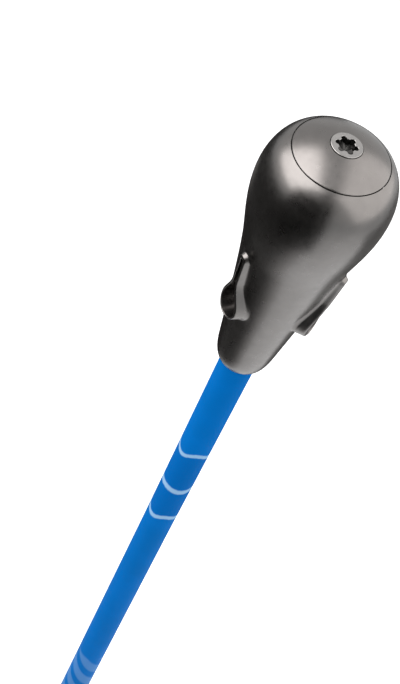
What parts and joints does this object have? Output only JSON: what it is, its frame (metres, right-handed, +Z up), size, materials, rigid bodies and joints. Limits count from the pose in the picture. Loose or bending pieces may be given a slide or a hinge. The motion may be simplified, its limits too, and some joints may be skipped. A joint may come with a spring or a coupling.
{
  "type": "weighted swing training stick",
  "caption": "Golf swing training stick: pear-shaped weighted metal head with raised scoops and a screwed domed cap, on a tapered blue shaft with a rubber grip.",
  "frame": {"origin": "centre of the grip's butt face, which is the lowest point of the stick stood upright", "axes": "+Z up the shaft from the butt to the domed head; the first of the three scoops faces 12 degrees from +X towards -Y"},
  "size_m": [0.0312, 0.0312, 1.1299],
  "materials": {
    "head_metal": "satin gunmetal",
    "cap_metal": "satin gunmetal",
    "screw_metal": "satin steel",
    "spring_steel": "bright drawn",
    "weight_metal": "turned steel",
    "brass": "turned brass",
    "nylon": "natural nylon",
    "seal_rubber": "smooth rubber",
    "epoxy": "cured epoxy",
    "shaft_paint": "blue paint with thin pale waved rings and slanted bars",
    "tape": "paper tape",
    "grip_rubber": "moulded textured rubber"
  },
  "bodies": {
    "stick": {"head_shell": "head_metal", "index_pin": "spring_steel", "thread_insert": "brass", "neck_bond": "epoxy", "tip_plug": "nylon", "shaft": "shaft_paint", "grip_tape": "tape", "grip": "grip_rubber", "grip_cap": "grip_rubber"},
    "cap_unit": {"end_cap": "cap_metal", "cap_seal": "seal_rubber", "weight_disc_1": "weight_metal", "weight_disc_2": "weight_metal", "weight_disc_3": "weight_metal", "weight_sleeve": "nylon", "weight_spring": "spring_steel", "weight_pad": "seal_rubber"},
    "screw": {"cap_screw": "screw_metal", "screw_washer": "nylon", "screw_clip": "spring_steel"}
  },
  "joints": [
    {"name": "cap_lift", "type": "slide", "parent": "stick", "child": "cap_unit", "axis": [0, 0, 1], "range_m": [0, 0.05]},
    {"name": "screw_turn", "type": "hinge", "parent": "cap_unit", "child": "screw", "pos_m": [0, 0, 1.13], "axis": [0, 0, 1], "range_deg": [0, 2790]}
  ]
}
